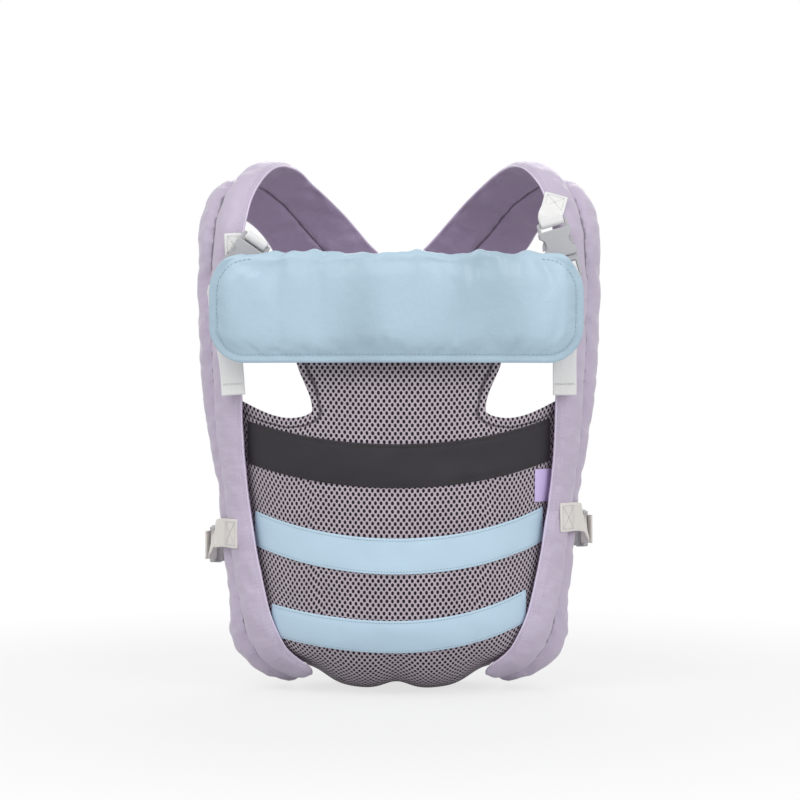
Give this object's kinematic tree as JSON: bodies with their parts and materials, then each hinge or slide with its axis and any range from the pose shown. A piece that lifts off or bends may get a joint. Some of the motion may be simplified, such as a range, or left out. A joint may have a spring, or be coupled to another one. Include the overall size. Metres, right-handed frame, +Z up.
{
  "type": "soft baby carrier",
  "caption": "Soft front baby carrier with a mesh panel, sewn bands, padded straps that cross at the back, a head flap that folds down and side-release buckles.",
  "frame": {"origin": "under the middle of the carrier, level with the lowest point of the seat", "axes": "+X is the right side seen from the front, -Y faces away from the wearer, +Z is up"},
  "size_m": [0.3496, 0.2525, 0.4601],
  "materials": {
    "mesh": "matt spacer mesh",
    "black_cloth": "matt woven",
    "blue_cloth": "satin woven",
    "light_blue_cloth": "satin woven",
    "lavender_cloth": "satin woven",
    "tab_cloth": "satin",
    "wadding": "soft foam and fibre",
    "elastic": "matt",
    "webbing": "matt woven",
    "hip_webbing": "matt woven",
    "grey_plastic": "satin moulded"
  },
  "bodies": {
    "carrier": {"anchor_webbing_hip_left": "hip_webbing", "anchor_webbing_hip_right": "hip_webbing", "anchor_webbing_upper_left": "webbing", "anchor_webbing_upper_right": "webbing", "back_webbing_left": "hip_webbing", "back_webbing_right": "hip_webbing", "black_band": "black_cloth", "blue_band_lower": "blue_cloth", "blue_band_upper": "blue_cloth", "buckle_female_hip_left": "grey_plastic", "buckle_female_hip_right": "grey_plastic", "buckle_female_upper_left": "grey_plastic", "buckle_female_upper_right": "grey_plastic", "fold_elastic": "elastic", "head_panel": "light_blue_cloth", "head_webbing_left": "webbing", "head_webbing_right": "webbing", "seat_panel": "mesh", "side_tab": "tab_cloth", "strap_cover_left": "lavender_cloth", "strap_cover_right": "lavender_cloth", "strap_padding_left": "wadding", "strap_padding_right": "wadding"},
    "head_flap": {"head_flap_cover": "light_blue_cloth", "head_flap_foam": "wadding"},
    "buckle_upper_right": {"buckle_male_upper_right": "grey_plastic", "tail_webbing_upper_right": "webbing"},
    "prong_a_upper_right": {"prong_a_upper_right": "grey_plastic"},
    "prong_b_upper_right": {"prong_b_upper_right": "grey_plastic"},
    "buckle_upper_left": {"buckle_male_upper_left": "grey_plastic", "tail_webbing_upper_left": "webbing"},
    "prong_a_upper_left": {"prong_a_upper_left": "grey_plastic"},
    "prong_b_upper_left": {"prong_b_upper_left": "grey_plastic"},
    "buckle_hip_right": {"buckle_male_hip_right": "grey_plastic", "tail_webbing_hip_right": "hip_webbing"},
    "prong_a_hip_right": {"prong_a_hip_right": "grey_plastic"},
    "prong_b_hip_right": {"prong_b_hip_right": "grey_plastic"},
    "buckle_hip_left": {"buckle_male_hip_left": "grey_plastic", "tail_webbing_hip_left": "hip_webbing"},
    "prong_a_hip_left": {"prong_a_hip_left": "grey_plastic"},
    "prong_b_hip_left": {"prong_b_hip_left": "grey_plastic"}
  },
  "joints": [
    {"name": "head_flap_fold", "type": "hinge", "parent": "carrier", "child": "head_flap", "pos_m": [0, -0.1141, 0.3735], "axis": [-1, 0, 0], "range_deg": [0, 170]},
    {"name": "release_upper_right", "type": "slide", "parent": "carrier", "child": "buckle_upper_right", "axis": [0.277, 0, -0.9609], "range_m": [0, 0.028], "deforming": ["prong_a_upper_right", "prong_b_upper_right"]},
    {"name": "squeeze_a_upper_right", "type": "hinge", "parent": "buckle_upper_right", "child": "prong_a_upper_right", "pos_m": [0.14487, -0.0785, 0.37501], "axis": [0, -1, 0], "range_deg": [0, 9], "stiffness_Nm_per_rad": 0.5},
    {"name": "squeeze_b_upper_right", "type": "hinge", "parent": "buckle_upper_right", "child": "prong_b_upper_right", "pos_m": [0.12796, -0.0785, 0.37014], "axis": [0, 1, 0], "range_deg": [0, 9], "stiffness_Nm_per_rad": 0.5},
    {"name": "release_upper_left", "type": "slide", "parent": "carrier", "child": "buckle_upper_left", "axis": [-0.5798, 0, -0.8147], "range_m": [0, 0.028], "deforming": ["prong_a_upper_left", "prong_b_upper_left"]},
    {"name": "squeeze_a_upper_left", "type": "hinge", "parent": "buckle_upper_left", "child": "prong_a_upper_left", "pos_m": [-0.12837, -0.08, 0.35649], "axis": [0, -1, 0], "range_deg": [0, 9], "stiffness_Nm_per_rad": 0.5},
    {"name": "squeeze_b_upper_left", "type": "hinge", "parent": "buckle_upper_left", "child": "prong_b_upper_left", "pos_m": [-0.14272, -0.08, 0.3667], "axis": [0, 1, 0], "range_deg": [0, 9], "stiffness_Nm_per_rad": 0.5},
    {"name": "release_hip_right", "type": "slide", "parent": "carrier", "child": "buckle_hip_right", "axis": [-0.3102, 0.9507, 0], "range_m": [0, 0.028], "deforming": ["prong_a_hip_right", "prong_b_hip_right"]},
    {"name": "squeeze_a_hip_right", "type": "hinge", "parent": "buckle_hip_right", "child": "prong_a_hip_right", "pos_m": [0.15647, 0.04014, 0.1473], "axis": [0.9507, 0.3102, 0], "range_deg": [0, 9], "stiffness_Nm_per_rad": 0.5},
    {"name": "squeeze_b_hip_right", "type": "hinge", "parent": "buckle_hip_right", "child": "prong_b_hip_right", "pos_m": [0.15647, 0.04014, 0.1247], "axis": [-0.9507, -0.3102, 0], "range_deg": [0, 9], "stiffness_Nm_per_rad": 0.5},
    {"name": "release_hip_left", "type": "slide", "parent": "carrier", "child": "buckle_hip_left", "axis": [0.3102, 0.9507, 0], "range_m": [0, 0.028], "deforming": ["prong_a_hip_left", "prong_b_hip_left"]},
    {"name": "squeeze_a_hip_left", "type": "hinge", "parent": "buckle_hip_left", "child": "prong_a_hip_left", "pos_m": [-0.15647, 0.04014, 0.1107], "axis": [-0.9507, 0.3102, 0], "range_deg": [0, 9], "stiffness_Nm_per_rad": 0.5},
    {"name": "squeeze_b_hip_left", "type": "hinge", "parent": "buckle_hip_left", "child": "prong_b_hip_left", "pos_m": [-0.15647, 0.04014, 0.1333], "axis": [0.9507, -0.3102, 0], "range_deg": [0, 9], "stiffness_Nm_per_rad": 0.5}
  ],
  "couplings": [
    {"joint": "squeeze_b_upper_right", "follows": "squeeze_a_upper_right", "ratio": 1},
    {"joint": "squeeze_b_upper_left", "follows": "squeeze_a_upper_left", "ratio": 1},
    {"joint": "squeeze_b_hip_right", "follows": "squeeze_a_hip_right", "ratio": 1},
    {"joint": "squeeze_b_hip_left", "follows": "squeeze_a_hip_left", "ratio": 1}
  ]
}
